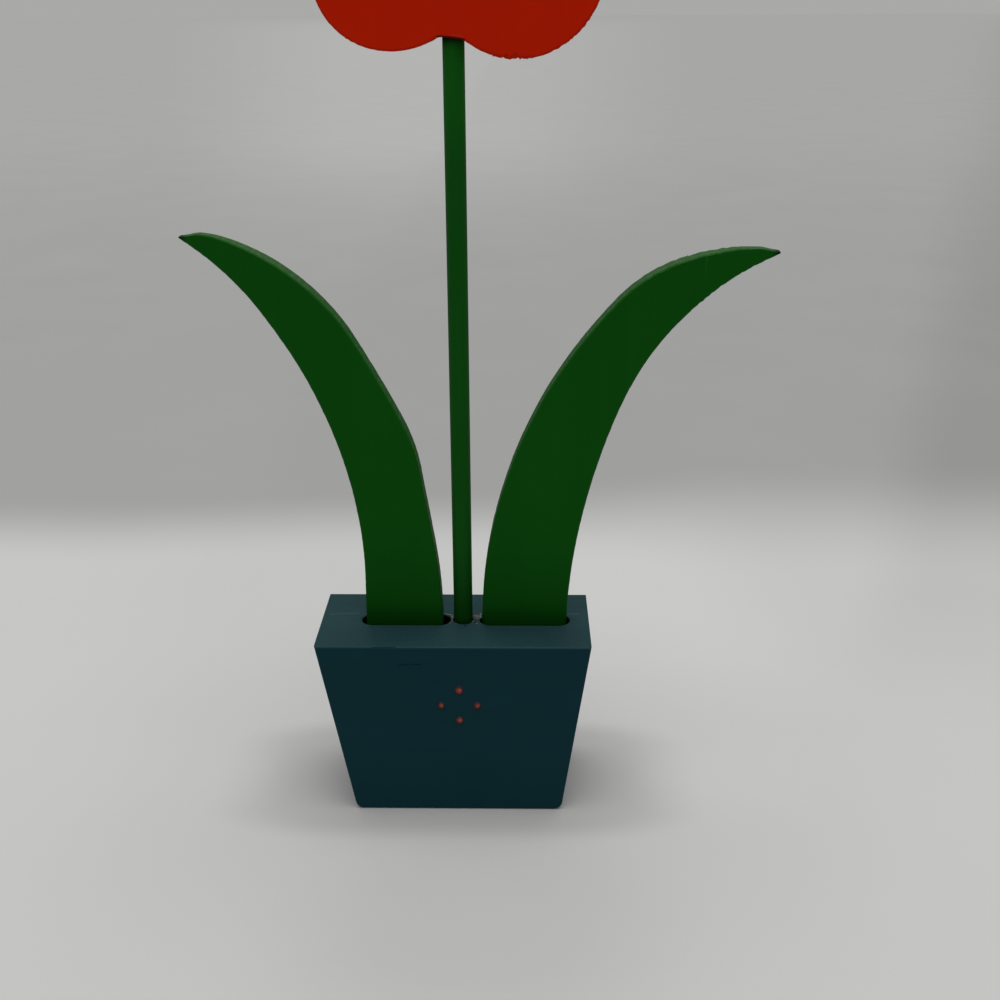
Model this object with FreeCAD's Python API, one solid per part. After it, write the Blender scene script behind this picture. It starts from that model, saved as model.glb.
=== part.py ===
import FreeCAD, Part
import math
import os
from FreeCAD import Vector

os.makedirs("parts", exist_ok=True)

# A wooden tulip standing in a sawn pot, with two leaves. Lengths are in millimetres.
# X runs to the right seen from the front, Y to the back, Z up. The origin is the middle of the
# pot's underside, straight below the middle of its top. Stem, leaves and blossom are centred on Y = 0.

# pot: a block of planed board that narrows to its foot, a little more on the left than on the right
pot_width = 88.9
pot_thickness = 38.1
pot_height = 62.1
foot_left = 33.4
foot_right = 35.6
foot_corner_radius = 3.0
pot_ease = 0.7
mouth_ease = 0.25

# mortises for the leaves, one on each side of the stem's hole: cut with a round cutter, so their
# ends are half round. An end wall is left at the pot's side, and a thin web beside the stem's hole.
slot_width = 7.9
slot_depth = 25.0
left_end_wall = 13.4
left_web = 0.95
right_web = 2.35
right_end_wall = 6.4

# stem: a dowel pushed into a hole at each end
stem_x = 2.7
stem_diameter = 6.2
stem_show = 182.0
stem_end_ease = 0.6
pot_hole_depth = 30.0
blossom_hole_depth = 25.0
push_clearance = 0.05

# leaves: sawn from thin board, with feet rasped round until they drop into the mortises
leaf_thickness = 6.4
leaf_ease = 0.4
leaf_tip_radius = 0.6
foot_clearance = 0.3
rasp_rise = 14.0
rasp_spread = 1.6

# each leaf: the gaps that its foot leaves at the mortise's two ends, inner and outer, how far its
# tip reaches out from the foot's inner edge, and how high it rises above the pot
left_inner_gap = 2.6
left_outer_gap = 1.85
left_reach = 76.3
left_rise = 127.6
right_inner_gap = 0.9
right_outer_gap = 1.15
right_reach = 90.3
right_rise = 122.9

# blossom: sawn from board, with two round lobes below, a notch at the stem and three petal points
blossom_width = 84.8
blossom_height = 84.0
blossom_thickness = 19.0
blossom_ease = 0.6
petal_tip_radius = 2.0
petal_valley_radius = 1.5

# paint drops on the pot's front, placed from the middle of their diamond
dots_middle_x = 1.9
dots_middle_z = 40.7
dots_half_width = 5.9
dots_half_height = 5.6
dot_stand = 0.7
upper_dot_diameter = 3.2
left_dot_diameter = 2.4
right_dot_diameter = 2.6
lower_dot_diameter = 2.8

# how far a cutting shape runs past the surface that it cuts, and how near two places count as one
overrun = 1.0
match_distance = 0.001

# each leaf's edges are arcs that run smoothly into one another, from the foot to the tip that they
# share. Where each arc ends: share of the way out from the foot's inner or outer edge to the tip,
# and share of the rise above the pot
left_inner_shares = [(0.030, 0.229), (0.078, 0.414), (0.147, 0.547), (0.339, 0.760), (0.801, 0.986),
                     (1.000, 1.000)]
left_outer_shares = [(-0.004, 0.117), (0.554, 0.833), (1.000, 1.000)]
right_inner_shares = [(0.130, 0.498), (0.463, 0.880), (0.704, 0.985), (1.000, 1.000)]
right_outer_shares = [(0.004, 0.066), (0.251, 0.618), (1.000, 1.000)]

# the blossom's outline in shares of its width beside the stem and of its height above the notch:
# from its left petal point, where its side sets out at this slope, by arcs that run smoothly down
# the side, round the left lobe, through the notch, round the right lobe and up to the right point
left_petal_share = (-0.424, 0.868)
left_slope_shares = (-0.25, -1.00)
sides_and_lobes_shares = [(-0.482, 0.550), (-0.427, 0.106), (-0.278, -0.035), (-0.054, -0.009),
                          (0.041, -0.015), (0.461, 0.091), (0.520, 0.329), (0.462, 0.868)]
# and back over the petals: each arc passes through its first place and ends at its second
petal_arcs_shares = [[(0.335, 0.762), (0.245, 0.625)], [(0.155, 0.800), (0.019, 0.927)],
                     [(-0.117, 0.800), (-0.207, 0.625)], [(-0.297, 0.762), left_petal_share]]

# sizes and places that follow from the ones above
up = Vector(0, 0, 1)
pot_front = -pot_thickness / 2
push_hole_radius = stem_diameter / 2 + push_clearance
slot_floor = pot_height - slot_depth
stem_bottom = pot_height - pot_hole_depth
notch_height = pot_height + stem_show
left_slot = (-pot_width / 2 + left_end_wall, stem_x - push_hole_radius - left_web)
right_slot = (stem_x + push_hole_radius + right_web, pot_width / 2 - right_end_wall)


def line(start, end):
    return Part.LineSegment(start, end).toShape()


def arc(start, middle, end):
    return Part.Arc(start, middle, end).toShape()


def smooth_arcs(start, direction, ends):
    # arcs from start to each of the ends in turn, each leaving in the direction in which the one
    # before it arrived
    edges = []
    for end in ends:
        chord = end - start
        along = Vector(chord).normalize()
        onward = direction.dot(along)
        bulge = (direction - along * onward) * chord.Length / 2 / (1 + onward)
        edges.append(arc(start, start + chord / 2 + bulge, end))
        direction = along * 2 * onward - direction
        start = end
    return edges


def board(outline, thickness):
    # a closed outline drawn in the X-Z plane, given its thickness evenly about Y = 0
    face = Part.Face(Part.Wire(Part.__sortEdges__(outline)))
    face.translate(Vector(0, -thickness / 2, 0))
    return face.extrude(Vector(0, thickness, 0))


def corner_edges(solid, corners):
    # the edges that run through a board's thickness at these corners of its outline
    found = []
    for edge in solid.Edges:
        for corner in corners:
            aside = [Vector(v.X - corner.x, 0, v.Z - corner.z).Length for v in edge.Vertexes]
            if max(aside) < match_distance:
                found.append(edge)
    return found


def arrises(solid, thickness):
    # the edges where the sawn outline meets the board's front and back
    found = []
    for edge in solid.Edges:
        off_face = [abs(abs(y) - thickness / 2) for y in (edge.BoundBox.YMin, edge.BoundBox.YMax)]
        if max(off_face) < match_distance and edge.BoundBox.YLength < match_distance:
            found.append(edge)
    return found


def round_ended(ends, grown, width, height):
    # a slot's outline seen from above: two straight sides and two half circles, from one end to
    # the other, each end moved out by grown
    radius = width / 2
    west = ends[0] - grown + radius
    east = ends[1] + grown - radius
    front = [Vector(west, -radius, height), Vector(east, -radius, height)]
    back = [Vector(east, radius, height), Vector(west, radius, height)]
    east_end = arc(front[1], Vector(east + radius, 0, height), back[0])
    west_end = arc(back[1], Vector(west - radius, 0, height), front[0])
    return Part.Wire([line(*front), east_end, line(*back), west_end])


def mortise(ends):
    # the mortise as a solid, its mouth broken all round
    body = Part.Face(round_ended(ends, 0, slot_width, slot_floor))
    body = body.extrude(up * (slot_depth + overrun))
    below = round_ended(ends, 0, slot_width, pot_height - mouth_ease)
    grown = mouth_ease + overrun
    above = round_ended(ends, grown, slot_width + 2 * grown, pot_height + overrun)
    return body.fuse(Part.makeLoft([below, above], True, True))


def stem_hole(floor, mouth):
    # a blind hole drilled for the stem, run on past its mouth by its radius, so that it also clears
    # the sides of a notch
    way_out = mouth - floor
    length = way_out.Length + push_hole_radius + overrun
    return Part.makeCylinder(push_hole_radius, length, floor, way_out)


def mouth_cone(mouth):
    # what breaks the edge of a stem hole's mouth in a level face
    grown = mouth_ease + overrun
    return Part.makeCone(push_hole_radius, push_hole_radius + grown, grown, mouth - up * mouth_ease)


def pot():
    feet = [Vector(foot_right, 0, 0), Vector(-foot_left, 0, 0)]
    corners = [Vector(-pot_width / 2, 0, pot_height), Vector(pot_width / 2, 0, pot_height)] + feet
    sides = [line(corners[i], corners[(i + 1) % 4]) for i in range(4)]
    block = board(sides, pot_thickness)
    block = block.makeFillet(foot_corner_radius, corner_edges(block, feet))
    block = block.makeFillet(pot_ease, arrises(block, pot_thickness))
    for ends in (left_slot, right_slot):
        block = block.cut(mortise(ends))
    mouth = Vector(stem_x, 0, pot_height)
    return block.cut(stem_hole(Vector(stem_x, 0, stem_bottom), mouth)).cut(mouth_cone(mouth))


def foot_room(ends):
    # what a leaf's foot is rasped to: round-ended inside the mortise, then spreading until it
    # runs out above the pot
    width = slot_width - 2 * foot_clearance
    foot = Part.Face(round_ended(ends, -foot_clearance, width, slot_floor - overrun))
    foot = foot.extrude(up * (slot_depth + overrun))
    below = round_ended(ends, -foot_clearance, width, pot_height)
    above = round_ended(ends, rasp_spread - foot_clearance, width + 2 * rasp_spread, pot_height + rasp_rise)
    return foot.fuse(Part.makeLoft([below, above], True, True))


def leaf(side, slot, inner_gap, outer_gap, reach, rise, inner_shares, outer_shares):
    # side is -1 for a leaf that sweeps to the left and 1 for one that sweeps to the right
    inner_end, outer_end = (slot[0], slot[1]) if side > 0 else (slot[1], slot[0])
    inner_x = inner_end + side * inner_gap
    outer_x = outer_end - side * outer_gap
    tip_x = inner_x + side * reach
    heels = [Vector(inner_x, 0, slot_floor), Vector(outer_x, 0, slot_floor)]
    outline = [line(*heels)]
    for heel, shares in zip(heels, (inner_shares, outer_shares)):
        foot = Vector(heel.x, 0, pot_height)
        ends = [Vector(heel.x + (tip_x - heel.x) * out, 0, pot_height + rise * high) for out, high in shares]
        outline += [line(heel, foot)] + smooth_arcs(foot, up, ends)
    blade = board(outline, leaf_thickness)
    tip = Vector(tip_x, 0, pot_height + rise)
    blade = blade.makeFillet(leaf_tip_radius, corner_edges(blade, [tip]))
    blade = blade.makeChamfer(leaf_ease, arrises(blade, leaf_thickness))
    above = Part.makeBox(2 * reach, 2 * leaf_thickness, rise,
                         Vector(inner_x - reach, -leaf_thickness, pot_height + rasp_rise))
    return blade.common(foot_room(slot).fuse(above))


def stem():
    length = pot_hole_depth + stem_show + blossom_hole_depth
    dowel = Part.makeCylinder(stem_diameter / 2, length, Vector(stem_x, 0, stem_bottom))
    return dowel.makeChamfer(stem_end_ease, [e for e in dowel.Edges if e.Closed])


def blossom_place(share):
    return Vector(stem_x + blossom_width * share[0], 0, notch_height + blossom_height * share[1])


def blossom():
    petal = blossom_place(left_petal_share)
    slope = Vector(left_slope_shares[0], 0, left_slope_shares[1]).normalize()
    below = [blossom_place(share) for share in sides_and_lobes_shares]
    outline = smooth_arcs(petal, slope, below)
    ends = [below[-1]]
    for through, end in petal_arcs_shares:
        outline.append(arc(ends[-1], blossom_place(through), blossom_place(end)))
        ends.append(blossom_place(end))
    head = board(outline, blossom_thickness)
    head = head.makeFillet(petal_tip_radius, corner_edges(head, ends[0::2]))
    head = head.makeFillet(petal_valley_radius, corner_edges(head, ends[1::2]))
    head = head.makeChamfer(blossom_ease, arrises(head, blossom_thickness))
    mouth = Vector(stem_x, 0, notch_height)
    return head.cut(stem_hole(mouth + up * blossom_hole_depth, mouth))


def drop(x, z, diameter):
    # a domed drop of paint, flat where it lies on the pot's front
    dome_radius = ((diameter / 2) ** 2 + dot_stand ** 2) / (2 * dot_stand)
    middle = Vector(x, pot_front - dot_stand + dome_radius, z)
    flat_angle = math.degrees(math.asin((dome_radius - dot_stand) / dome_radius))
    return Part.makeSphere(dome_radius, middle, Vector(0, -1, 0), flat_angle, 90, 360)


def pieces():
    found = {"pot": pot(), "stem": stem(), "blossom": blossom()}
    found["left_leaf"] = leaf(-1, left_slot, left_inner_gap, left_outer_gap, left_reach, left_rise,
                              left_inner_shares, left_outer_shares)
    found["right_leaf"] = leaf(1, right_slot, right_inner_gap, right_outer_gap, right_reach, right_rise,
                               right_inner_shares, right_outer_shares)
    dots = {"upper_dot": (0, dots_half_height, upper_dot_diameter),
            "left_dot": (-dots_half_width, 0, left_dot_diameter),
            "right_dot": (dots_half_width, 0, right_dot_diameter),
            "lower_dot": (0, -dots_half_height, lower_dot_diameter)}
    for name, (x, z, diameter) in dots.items():
        found[name] = drop(dots_middle_x + x, dots_middle_z + z, diameter)
    return found


for name, shape in pieces().items():
    shape.Solids[0].exportStep("parts/" + name + ".step")
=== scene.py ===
import math
import bmesh
import bpy
from mathutils import Matrix, Vector, noise


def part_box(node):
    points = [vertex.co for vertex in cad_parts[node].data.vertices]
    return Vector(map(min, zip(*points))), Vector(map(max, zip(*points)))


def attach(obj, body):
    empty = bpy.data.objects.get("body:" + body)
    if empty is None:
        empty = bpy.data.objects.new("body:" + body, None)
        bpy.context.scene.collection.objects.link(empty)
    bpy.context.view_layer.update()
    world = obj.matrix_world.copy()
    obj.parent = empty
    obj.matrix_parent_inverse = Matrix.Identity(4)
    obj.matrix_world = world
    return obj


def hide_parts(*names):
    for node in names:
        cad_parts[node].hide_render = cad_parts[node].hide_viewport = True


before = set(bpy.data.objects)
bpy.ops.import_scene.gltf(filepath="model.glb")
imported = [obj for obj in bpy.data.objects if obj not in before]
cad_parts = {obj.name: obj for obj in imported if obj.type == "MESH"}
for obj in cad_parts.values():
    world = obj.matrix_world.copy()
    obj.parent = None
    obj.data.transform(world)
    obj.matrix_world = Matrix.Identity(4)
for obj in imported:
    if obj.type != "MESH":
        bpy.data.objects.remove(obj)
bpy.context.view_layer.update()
mm = 0.001

# where the pieces are, read from the frame
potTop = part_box("pot")[1].z
blossomLow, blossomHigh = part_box("blossom")
stemLow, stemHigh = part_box("stem")
stemX = (stemLow.x + stemHigh.x) / 2
print("frame loaded")


def addNode(tree, kind, inputs=None, **settings):
    # one node, its settings and its inputs: a socket is linked, anything else is its value
    node = tree.nodes.new(kind)
    for name, value in settings.items():
        setattr(node, name, value)
    for name, value in (inputs or {}).items():
        if isinstance(value, bpy.types.NodeSocket):
            tree.links.new(value, node.inputs[name])
        else:
            node.inputs[name].default_value = value
    return node


def maths(tree, operation, *values, clamp=False):
    node = addNode(tree, "ShaderNodeMath", dict(enumerate(values)), operation=operation, use_clamp=clamp)
    return node.outputs[0]


def product(tree, first, *others):
    for other in others:
        first = maths(tree, "MULTIPLY", first, other)
    return first


def vectorMaths(tree, operation, first, second):
    return addNode(tree, "ShaderNodeVectorMath", {0: first, 1: second}, operation=operation).outputs


def scaled(tree, vector, size):
    return addNode(tree, "ShaderNodeVectorMath", {0: vector, "Scale": size}, operation="SCALE").outputs[0]


def separate(tree, vector):
    return addNode(tree, "ShaderNodeSeparateXYZ", {0: vector}).outputs


def addNoise(tree, vector, scale, detail, roughness=0.5):
    return addNode(tree, "ShaderNodeTexNoise",
                   {"Vector": vector, "Scale": scale, "Detail": detail, "Roughness": roughness}).outputs


def fade(tree, value, low, high, fromValue=0.0, toValue=1.0):
    # value from low to high becomes a soft step from fromValue to toValue
    node = addNode(tree, "ShaderNodeMapRange",
                   {"Value": value, "From Min": low, "From Max": high,
                    "To Min": fromValue, "To Max": toValue},
                   interpolation_type="SMOOTHSTEP")
    return node.outputs["Result"]


def mixColour(tree, share, first, second, blend="MIX"):
    # a colour mix has its two colours on sockets 6 and 7
    node = addNode(tree, "ShaderNodeMix", {"Factor": share, 6: first, 7: second},
                   data_type="RGBA", blend_type=blend)
    return node.outputs[2]


def newGroup(name, inputs, outputs):
    group = bpy.data.node_groups.new(name, "ShaderNodeTree")
    for label, kind, value in inputs:
        socket = group.interface.new_socket(label, in_out="INPUT", socket_type="NodeSocket" + kind)
        if value is not None:
            socket.default_value = value
    for label, kind in outputs:
        group.interface.new_socket(label, in_out="OUTPUT", socket_type="NodeSocket" + kind)
    return group, group.nodes.new("NodeGroupInput").outputs, group.nodes.new("NodeGroupOutput").inputs


def placeGroup(tree, group, inputs):
    return addNode(tree, "ShaderNodeGroup", inputs, node_tree=group).outputs


def newMaterial(name):
    material = bpy.data.materials.new(name)
    material.use_nodes = True
    return material, material.node_tree


def srgb(red, green, blue):
    # a colour given on a 0 to 255 screen scale, made linear
    shares = [value / 255 for value in (red, green, blue)]
    return [((share + 0.055) / 1.055) ** 2.4 if share > 0.04045 else share / 12.92 for share in shares] + [1]


# the patterns that the shared effects are made of: a pair says where a noise or a slope
# starts to count and where it counts in full
grainPattern = {"broadScale": 0.16, "broadShare": 0.6, "streak": (0.40, 0.62)}
brushPattern = {"stretch": (1.0, 1.0, 0.12), "linesPerMetre": 1500.0, "patch": (0.36, 0.66), "lineShare": 0.5}
sawPattern = {"stretch": (1.0, 0.10, 1.0), "side": (0.55, 0.30), "teeth": (0.40, 0.70), "rougher": 0.12}
wearPattern = {"turned": (0.995, 0.88), "patchy": (0.40, 0.62)}
dustPattern = {"upward": (0.35, 0.95), "specksPerMetre": 700.0, "specks": (0.30, 0.75), "least": 0.7}
markPattern = {"straysPerMetre": 1100.0, "strayWidths": 4.0}
bevelSamples = 6


# wood grain that still shows through paint: long fibres along the vector's Z
def makeWoodGrain():
    group, given, result = newGroup("woodGrain",
                                    [("Vector", "Vector", None), ("Fibres Per Metre", "Float", 900.0),
                                     ("Length", "Float", 0.04)],
                                    [("Height", "Float"), ("Streak", "Float")])
    squeeze = addNode(group, "ShaderNodeCombineXYZ", {"X": 1.0, "Y": 1.0, "Z": given["Length"]})
    along = vectorMaths(group, "MULTIPLY", given["Vector"], squeeze.outputs[0])[0]
    fine = addNoise(group, along, given["Fibres Per Metre"], 4.0, 0.65)[0]
    broadScale = maths(group, "MULTIPLY", given["Fibres Per Metre"], grainPattern["broadScale"])
    broad = addNoise(group, along, broadScale, 3.0, 0.55)[0]
    both = maths(group, "MULTIPLY_ADD", broad, grainPattern["broadShare"],
                 maths(group, "MULTIPLY", fine, 1 - grainPattern["broadShare"]))
    group.links.new(both, result["Height"])
    group.links.new(fade(group, broad, *grainPattern["streak"]), result["Streak"])
    return group


# brushed paint: cloudy patches where it lies thicker, and the brush's own fine lines
def makeBrushedPaint():
    group, given, result = newGroup("brushedPaint",
                                    [("Vector", "Vector", None), ("Colour", "Color", (0.5, 0.5, 0.5, 1)),
                                     ("Thin Colour", "Color", (0.6, 0.6, 0.6, 1)),
                                     ("Patches Per Metre", "Float", 60.0), ("Contrast", "Float", 0.5)],
                                    [("Colour", "Color"), ("Patch", "Float"), ("Height", "Float")])
    cloud = addNoise(group, given["Vector"], given["Patches Per Metre"], 4.0, 0.6)[0]
    stretched = vectorMaths(group, "MULTIPLY", given["Vector"], brushPattern["stretch"])[0]
    lines = addNoise(group, stretched, brushPattern["linesPerMetre"], 2.0, 0.5)[0]
    patch = fade(group, cloud, *brushPattern["patch"])
    share = maths(group, "MULTIPLY", patch, given["Contrast"])
    height = maths(group, "MULTIPLY_ADD", lines, brushPattern["lineShare"],
                   maths(group, "MULTIPLY", patch, 1 - brushPattern["lineShare"]))
    group.links.new(mixColour(group, share, given["Colour"], given["Thin Colour"]), result["Colour"])
    group.links.new(patch, result["Patch"])
    group.links.new(height, result["Height"])
    return group


# the marks of a saw across a board's thickness: its teeth run along Y
def makeSawMarks():
    group, given, result = newGroup("sawMarks",
                                    [("Vector", "Vector", None), ("Teeth Per Metre", "Float", 1400.0)],
                                    [("Height", "Float"), ("Sawn", "Float")])
    across = vectorMaths(group, "MULTIPLY", given["Vector"], sawPattern["stretch"])[0]
    teeth = addNoise(group, across, given["Teeth Per Metre"], 3.0, 0.7)[0]
    facing = separate(group, addNode(group, "ShaderNodeNewGeometry").outputs["Normal"])
    flat = maths(group, "ABSOLUTE", facing["Y"])
    group.links.new(teeth, result["Height"])
    group.links.new(fade(group, flat, *sawPattern["side"]), result["Sawn"])
    return group


# where a corner is rubbed and the paint is thin
def makeEdgeWear():
    group, given, result = newGroup("edgeWear",
                                    [("Vector", "Vector", None), ("Reach", "Float", 0.0005),
                                     ("Patches Per Metre", "Float", 400.0), ("Amount", "Float", 0.5)],
                                    [("Worn", "Float")])
    rounded = addNode(group, "ShaderNodeBevel", {"Radius": given["Reach"]}, samples=bevelSamples)
    facing = addNode(group, "ShaderNodeNewGeometry").outputs["Normal"]
    agree = vectorMaths(group, "DOT_PRODUCT", rounded.outputs[0], facing)["Value"]
    turned = fade(group, agree, *wearPattern["turned"])
    rub = addNoise(group, given["Vector"], given["Patches Per Metre"], 3.0, 0.6)[0]
    patchy = fade(group, rub, *wearPattern["patchy"])
    group.links.new(product(group, turned, patchy, given["Amount"]), result["Worn"])
    return group


# fine dust that settles on what faces up
def makeSettledDust():
    group, given, result = newGroup("settledDust",
                                    [("Vector", "Vector", None), ("Amount", "Float", 0.1)],
                                    [("Dust", "Float")])
    facing = separate(group, addNode(group, "ShaderNodeNewGeometry").outputs["Normal"])
    upward = fade(group, facing["Z"], *dustPattern["upward"])
    specks = addNoise(group, given["Vector"], dustPattern["specksPerMetre"], 5.0, 0.75)[0]
    speckled = fade(group, specks, *dustPattern["specks"], dustPattern["least"], 1.0)
    group.links.new(product(group, upward, speckled, given["Amount"]), result["Dust"])
    return group


# a chip, stain, fine crack, painted shadow or painted highlight: all within a ragged distance of a short line
# between two points
def makeRaggedMark():
    group, given, result = newGroup("raggedMark",
                                    [("Vector", "Vector", None), ("From", "Vector", None),
                                     ("To", "Vector", None), ("Width", "Float", 0.001),
                                     ("Softness", "Float", 0.4), ("Ragged", "Float", 0.5)],
                                    [("Mark", "Float")])
    stray = addNoise(group, given["Vector"], markPattern["straysPerMetre"], 3.0, 0.7)["Color"]
    centred = vectorMaths(group, "ADD", stray, (-0.5, -0.5, -0.5))[0]
    sway = maths(group, "MULTIPLY", given["Ragged"],
                 maths(group, "MULTIPLY", given["Width"], markPattern["strayWidths"]))
    here = vectorMaths(group, "ADD", given["Vector"], scaled(group, centred, sway))[0]
    off = vectorMaths(group, "SUBTRACT", here, given["From"])[0]
    run = vectorMaths(group, "SUBTRACT", given["To"], given["From"])[0]
    along = vectorMaths(group, "DOT_PRODUCT", off, run)["Value"]
    whole = vectorMaths(group, "DOT_PRODUCT", run, run)["Value"]
    share = maths(group, "DIVIDE", along, whole, clamp=True)
    gap = vectorMaths(group, "DISTANCE", off, scaled(group, run, share))["Value"]
    ratio = maths(group, "DIVIDE", gap, given["Width"])
    inner = maths(group, "SUBTRACT", 1.0, given["Softness"])
    group.links.new(fade(group, ratio, inner, 1.0, 1.0, 0.0), result["Mark"])
    return group


woodGrain = makeWoodGrain()
brushedPaint = makeBrushedPaint()
sawMarks = makeSawMarks()
edgeWear = makeEdgeWear()
settledDust = makeSettledDust()
raggedMark = makeRaggedMark()
print("shader groups built")


def paintedWood(name, look):
    # painted board: brushed paint over grain, sawn sides, rubbed corners and a little dust.
    # Returns the material, its tree, the colour and height sockets and the shader, for what a piece adds
    material, tree = newMaterial(name)
    shader = tree.nodes["Principled BSDF"]
    place = addNode(tree, "ShaderNodeTexCoord").outputs["Object"]
    turned = addNode(tree, "ShaderNodeMapping", {"Vector": place, "Rotation": look["grainTurn"]}).outputs[0]
    grain = placeGroup(tree, woodGrain, {"Vector": turned, "Fibres Per Metre": look["fibresPerMetre"]})
    paint = placeGroup(tree, brushedPaint, {
        "Vector": turned, "Colour": look["colour"], "Thin Colour": look["thinColour"],
        "Patches Per Metre": look["patchesPerMetre"], "Contrast": look["patchContrast"]})
    saw = placeGroup(tree, sawMarks, {"Vector": place})
    wear = placeGroup(tree, edgeWear, {"Vector": place, "Amount": look["wear"], "Reach": look["wearReach"]})
    dust = placeGroup(tree, settledDust, {"Vector": place, "Amount": look["dust"]})
    streaked = mixColour(tree, maths(tree, "MULTIPLY", grain["Streak"], look["streaks"]),
                         paint["Colour"], look["streakColour"])
    teeth = fade(tree, saw["Height"], *sawPattern["teeth"], 0.0, look["sawn"])
    sawn = mixColour(tree, maths(tree, "MULTIPLY", saw["Sawn"], teeth), streaked, look["sawnColour"])
    rubbed = mixColour(tree, wear["Worn"], sawn, look["wornColour"])
    colour = mixColour(tree, dust["Dust"], rubbed, look["dustColour"])
    sawHeight = product(tree, saw["Height"], saw["Sawn"], look["sawRelief"])
    brushHeight = maths(tree, "MULTIPLY_ADD", paint["Height"], look["brushRelief"], sawHeight)
    grainHeight = maths(tree, "MULTIPLY", grain["Height"], look["grainRelief"])
    height = maths(tree, "ADD", grainHeight, brushHeight)
    sawnRough = maths(tree, "MULTIPLY_ADD", saw["Sawn"], sawPattern["rougher"], look["roughness"])
    rough = maths(tree, "MULTIPLY_ADD", paint["Patch"], look["roughSpread"], sawnRough)
    shader.inputs["Specular IOR Level"].default_value = look["shine"]
    tree.links.new(rough, shader.inputs["Roughness"])
    return material, tree, {"colour": colour, "height": height, "place": place, "shader": shader}


def closePaint(tree, parts, softness):
    # links the finished colour and relief; the bevel softens corners that a brush would leave round
    shader = parts["shader"]
    soft = addNode(tree, "ShaderNodeBevel", {"Radius": softness}, samples=bevelSamples)
    bump = addNode(tree, "ShaderNodeBump",
                   {"Height": parts["height"], "Distance": mm, "Normal": soft.outputs[0]})
    tree.links.new(parts["colour"], shader.inputs["Base Color"])
    tree.links.new(bump.outputs[0], shader.inputs["Normal"])


def addMark(tree, parts, start, end, width, colour, depth=0.0, softness=0.5, ragged=0.4, strength=1.0):
    # lays one mark over the colour so far; a positive depth sinks it, a negative one raises it
    mark = placeGroup(tree, raggedMark, {"Vector": parts["place"], "From": start, "To": end, "Width": width,
                                         "Softness": softness, "Ragged": ragged})["Mark"]
    share = maths(tree, "MULTIPLY", mark, strength)
    parts["colour"] = mixColour(tree, share, parts["colour"], colour)
    if depth:
        parts["height"] = maths(tree, "SUBTRACT", parts["height"], maths(tree, "MULTIPLY", mark, depth))


hiddenFade = (0.5 * mm, 18 * mm)      # below the level a shade fades out between these depths


def shadeTowards(tree, parts, level, reach, share):
    # painted shade towards a level: the colour goes to a share of itself, and a share above 1 is painted
    # light; a negative reach works from below
    height = separate(tree, parts["place"])["Z"]
    hidden = fade(tree, height, level - hiddenFade[0], level - hiddenFade[1], share, 1.0)
    share = fade(tree, height, level, level + reach, share, 1.0)
    if reach > 0:
        share = maths(tree, "MAXIMUM", share, hidden)
    grey = addNode(tree, "ShaderNodeCombineColor", {"Red": share, "Green": share, "Blue": share})
    parts["colour"] = mixColour(tree, 1.0, parts["colour"], grey.outputs[0], blend="MULTIPLY")


def setMaterial(thing, material):
    thing.data.materials.clear()
    thing.data.materials.append(material)


def inMillimetres(point):
    return [value * mm for value in point]


# how a CAD board's triangles are made a clean shell, and how its finished mesh is smoothed
shellLook = {
    "merge": 0.001 * mm, "acrossLength": 2 * mm,
    "flat": 0.05, "quad": 5, "quadShape": 60, "smooth": 12,      # degrees
}

# how the saw leaves every board's side
sawHand = {
    "across": 0.12,      # its marks change this much slower across the board
    "cornerBlend": 0.1 * mm, "undersideSlope": 0.7, "patchCore": 0.5,
    "chatterBias": 0.2, "tearBias": 0.15, "leastOutward": 0.05,
}


def cleanCopy(nodeName):
    # the node's board as a closed shell of quads, its front and back each one face
    board = bmesh.new()
    board.from_mesh(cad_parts[nodeName].data)
    bmesh.ops.remove_doubles(board, verts=board.verts, dist=shellLook["merge"])
    bmesh.ops.dissolve_limit(board, angle_limit=math.radians(shellLook["flat"]),
                             verts=board.verts, edges=board.edges)
    corners = [face for face in board.faces if len(face.verts) == 3]
    bmesh.ops.join_triangles(board, faces=corners, angle_face_threshold=math.radians(shellLook["quad"]),
                             angle_shape_threshold=math.radians(shellLook["quadShape"]))
    return board


def outlineRings(cap):
    # for each edge of the outline, the row of edges beside it from front to back
    rings = []
    for edge in cap.edges:
        ring, face = [edge], cap
        while True:
            ahead = [other for other in ring[-1].link_faces if other is not face]
            if not ahead or len(ahead[0].verts) != 4:
                break
            face = ahead[0]
            touching = set(ring[-1].verts)
            ring.append(next(other for other in face.edges if not touching & set(other.verts)))
        rings.append(ring)
    return rings


def shortenSteps(board, step, rows):
    # cuts the outline into short steps and the sawn side into rows, so that both can be roughened
    caps = sorted(board.faces, key=lambda face: len(face.verts))[-2:]
    front = min(caps, key=lambda face: face.calc_center_median().y)
    groups = {}
    for ring in outlineRings(front):
        longest = max(edge.calc_length() for edge in ring)
        groups.setdefault(math.ceil(longest / step) - 1, []).extend(ring)
    bmesh.ops.delete(board, geom=caps, context="FACES_ONLY")
    for cuts, edges in sorted(groups.items()):
        if cuts > 0:
            bmesh.ops.subdivide_edges(board, edges=edges, cuts=cuts)
    across = [edge for edge in board.edges
              if abs(edge.verts[0].co.y - edge.verts[1].co.y) > shellLook["acrossLength"]
              and all(len(face.verts) == 4 for face in edge.link_faces)]
    bmesh.ops.subdivide_edges(board, edges=across, cuts=rows)
    bmesh.ops.holes_fill(board, edges=[edge for edge in board.edges if edge.is_boundary], sides=0)
    bmesh.ops.recalc_face_normals(board, faces=board.faces)


def step01(value, low, high):
    # a soft step from 0 at low to 1 at high
    share = min(1.0, max(0.0, (value - low) / (high - low)))
    return share * share * (3 - 2 * share)


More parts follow.
